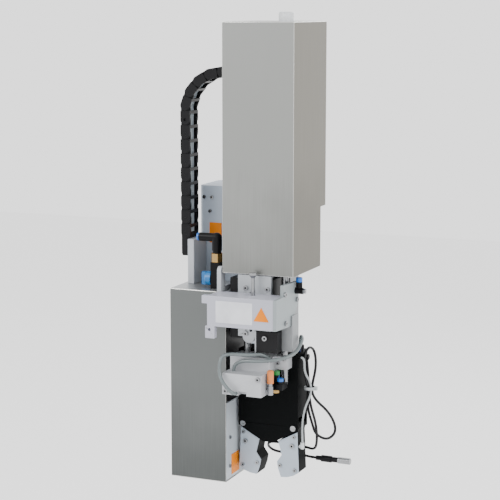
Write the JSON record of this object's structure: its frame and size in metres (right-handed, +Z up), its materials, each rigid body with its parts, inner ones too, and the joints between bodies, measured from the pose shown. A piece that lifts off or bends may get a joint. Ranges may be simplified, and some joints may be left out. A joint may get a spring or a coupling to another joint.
{
  "type": "stroke label applicator",
  "caption": "Stroke type label applicator: a tall steel cover over a vertical lift, a black head with hinged jaws below it, an energy chain at its side, and a housing on a column.",
  "frame": {"origin": "centre of the rear bolt pattern, on the back face of the base column", "axes": "+X to the machine's right seen from its front, -Y towards the front, +Z up, along the lift"},
  "size_m": [0.2458, 0.1955, 0.654],
  "materials": {
    "painted": "satin powder coat",
    "stainless": "brushed",
    "stainless_dark": "brushed",
    "black_metal": "matt black",
    "black_plastic": "matt",
    "white_paint": "satin",
    "pale_box": "satin",
    "alu": "satin",
    "steel": "polished",
    "label": "printed film, blank",
    "blue": "satin",
    "dark_blue": "satin",
    "cyan": "satin",
    "orange": "sintered",
    "clear_hose": "translucent",
    "cable": "glossy jacket",
    "white_plastic": "satin"
  },
  "bodies": {
    "base": {"base_column": "painted", "bearing_block": "alu", "blank_plates": "label", "chain_bracket": "white_paint", "chain_fixed_run": "black_plastic", "flow_valve": "black_plastic", "frame_screws": "steel", "guide_block": "black_metal", "guide_plate": "alu", "hand_valve": "black_plastic", "housing_cover": "stainless_dark", "housing_side_panel": "painted", "housing_upper_panel": "black_metal", "label_box_cover": "pale_box", "lift_cylinder": "alu", "lift_frame": "alu", "push_rings": "blue", "side_plate": "alu", "stop_block": "black_metal", "top_cap": "white_plastic", "upper_cover": "stainless", "valve_bracket": "white_paint"},
    "valve_knob": {"valve_knob": "cyan"},
    "knurled_screw": {"knurled_screw": "steel"},
    "flow_needle": {"flow_needle": "steel"},
    "head": {"guide_rods": "steel", "piston_rod": "steel", "crosshead": "alu", "head_block": "alu", "valve_block": "alu", "gripper_front_cover": "black_metal", "gripper_back_plate": "black_metal", "gripper_housing": "black_metal", "pivot_pins": "steel", "silencer": "orange", "push_fittings": "black_plastic", "gripper_port": "dark_blue", "head_screws": "steel", "head_hoses": "clear_hose", "jaw_air_tube": "white_plastic", "cable_clip": "white_plastic", "sensor_cable": "cable", "sensor_plug": "black_plastic", "cable_tie": "white_plastic"},
    "plunger": {"gripper_plunger": "steel"},
    "right_jaw": {"right_jaw": "black_metal", "right_jaw_plate": "white_paint", "right_jaw_elbow": "white_plastic"},
    "left_jaw": {"left_jaw": "black_metal", "left_jaw_plate": "white_paint"},
    "link_4": {"link_4": "black_plastic"},
    "link_5": {"link_5": "black_plastic"},
    "link_6": {"link_6": "black_plastic"},
    "link_7": {"link_7": "black_plastic"},
    "arch_links": {"arch_links": "black_plastic"},
    "link_13": {"link_13": "black_plastic"},
    "link_14": {"link_14": "black_plastic"},
    "link_15": {"link_15": "black_plastic"},
    "link_16": {"link_16": "black_plastic"}
  },
  "joints": [
    {"name": "lift", "type": "slide", "parent": "base", "child": "head", "axis": [0, 0, -1], "range_m": [0, 0.2]},
    {"name": "chain_bend_4", "type": "hinge", "parent": "base", "child": "link_4", "pos_m": [-0.0395, -0.097, 0.22], "axis": [0, 1, 0], "range_deg": [0, 20]},
    {"name": "chain_bend_5", "type": "hinge", "parent": "link_4", "child": "link_5", "pos_m": [-0.0395, -0.097, 0.24], "axis": [0, 1, 0], "range_deg": [0, 20]},
    {"name": "chain_bend_6", "type": "hinge", "parent": "link_5", "child": "link_6", "pos_m": [-0.0395, -0.097, 0.26], "axis": [0, 1, 0], "range_deg": [0, 20]},
    {"name": "chain_bend_7", "type": "hinge", "parent": "link_6", "child": "link_7", "pos_m": [-0.0395, -0.097, 0.28], "axis": [0, 1, 0], "range_deg": [0, 20]},
    {"name": "chain_arch_turn", "type": "hinge", "parent": "base", "child": "arch_links", "pos_m": [-0.02474, -0.097, 0.26], "axis": [0, 1, 0], "range_deg": [0, 100]},
    {"name": "chain_straighten_13", "type": "hinge", "parent": "arch_links", "child": "link_13", "pos_m": [0.01721, -0.097, 0.36759], "axis": [0, -1, 0], "range_deg": [0, 20]},
    {"name": "chain_straighten_14", "type": "hinge", "parent": "link_13", "child": "link_14", "pos_m": [0.03691, -0.097, 0.36411], "axis": [0, -1, 0], "range_deg": [0, 20]},
    {"name": "chain_straighten_15", "type": "hinge", "parent": "link_14", "child": "link_15", "pos_m": [0.05423, -0.097, 0.35411], "axis": [0, -1, 0], "range_deg": [0, 20]},
    {"name": "chain_straighten_16", "type": "hinge", "parent": "link_15", "child": "link_16", "pos_m": [0.06709, -0.097, 0.33879], "axis": [0, -1, 0], "range_deg": [0, 20]},
    {"name": "left_jaw_close", "type": "hinge", "parent": "head", "child": "left_jaw", "pos_m": [0.053, -0.1025, -0.1255], "axis": [0, -1, 0], "range_deg": [0, 9]},
    {"name": "right_jaw_close", "type": "hinge", "parent": "head", "child": "right_jaw", "pos_m": [0.129, -0.1025, -0.1255], "axis": [0, 1, 0], "range_deg": [0, 9]},
    {"name": "plunger_lift", "type": "slide", "parent": "head", "child": "plunger", "axis": [0, 0, 1], "range_m": [0, 0.0043]},
    {"name": "valve_turn", "type": "hinge", "parent": "base", "child": "valve_knob", "pos_m": [0.0105, -0.13, 0.081], "axis": [-1, 0, 0], "range_deg": [0, 90]},
    {"name": "knurled_turn", "type": "hinge", "parent": "base", "child": "knurled_screw", "pos_m": [0.088, -0.168, 0.085], "axis": [0, 0, 1], "continuous": true},
    {"name": "needle_turn", "type": "hinge", "parent": "base", "child": "flow_needle", "pos_m": [0.143, -0.122, 0.071], "axis": [1, 0, 0], "continuous": true}
  ],
  "couplings": [
    {"joint": "chain_bend_4", "follows": "lift", "rad_per_m": 1.7453},
    {"joint": "chain_bend_5", "follows": "lift", "rad_per_m": 1.7453},
    {"joint": "chain_bend_6", "follows": "lift", "rad_per_m": 1.7453},
    {"joint": "chain_bend_7", "follows": "lift", "rad_per_m": 1.7453},
    {"joint": "chain_arch_turn", "follows": "lift", "rad_per_m": 8.7266},
    {"joint": "chain_straighten_13", "follows": "lift", "rad_per_m": 1.7453},
    {"joint": "chain_straighten_14", "follows": "lift", "rad_per_m": 1.7453},
    {"joint": "chain_straighten_15", "follows": "lift", "rad_per_m": 1.7453},
    {"joint": "chain_straighten_16", "follows": "lift", "rad_per_m": 1.7453},
    {"joint": "right_jaw_close", "follows": "left_jaw_close", "ratio": 1},
    {"joint": "plunger_lift", "follows": "left_jaw_close", "m_per_rad": 0.027}
  ]
}
